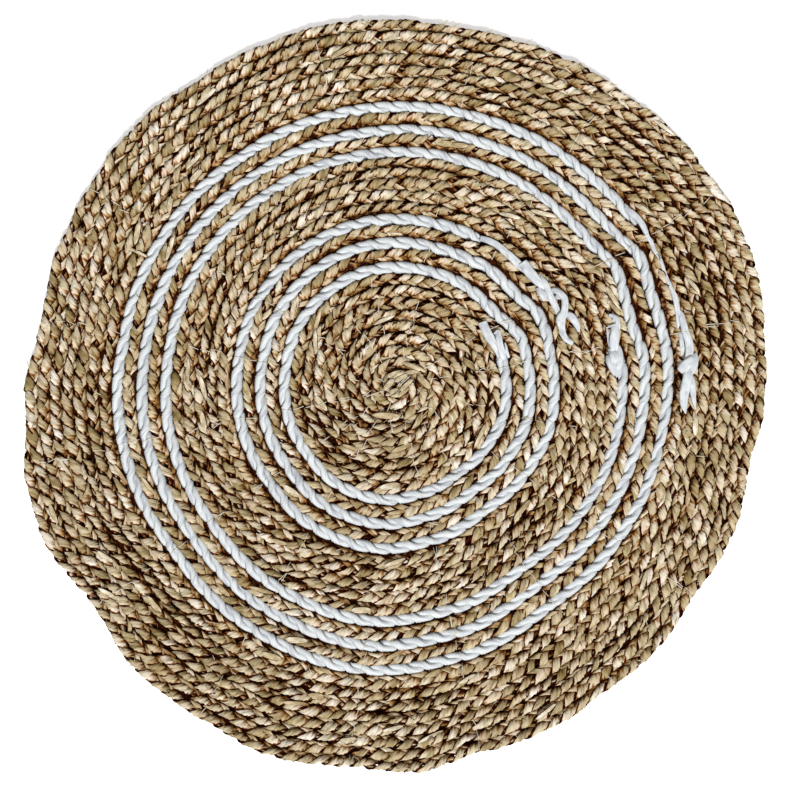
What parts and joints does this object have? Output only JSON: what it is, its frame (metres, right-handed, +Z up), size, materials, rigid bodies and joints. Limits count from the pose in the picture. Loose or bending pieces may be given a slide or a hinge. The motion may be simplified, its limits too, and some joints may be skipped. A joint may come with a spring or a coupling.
{
  "type": "corn husk placemat",
  "caption": "Round coiled placemat of plaited corn husk, sewn in a flat spiral, with white two-ply rope wound into two bands of rings.",
  "frame": {"origin": "middle of the mat's outline, on the surface it lies on", "axes": "+Z up out of the mat, +Y towards the top of the picture, +X to its right"},
  "size_m": [0.3772, 0.3824, 0.0104],
  "materials": {
    "husk": "dry plaited husk, fibrous, half matte",
    "rope": "bleached twisted husk rope, satin"
  },
  "bodies": {
    "root": {"husk_coil": "husk", "rope_inner": "rope", "rope_outer": "rope"}
  },
  "joints": []
}
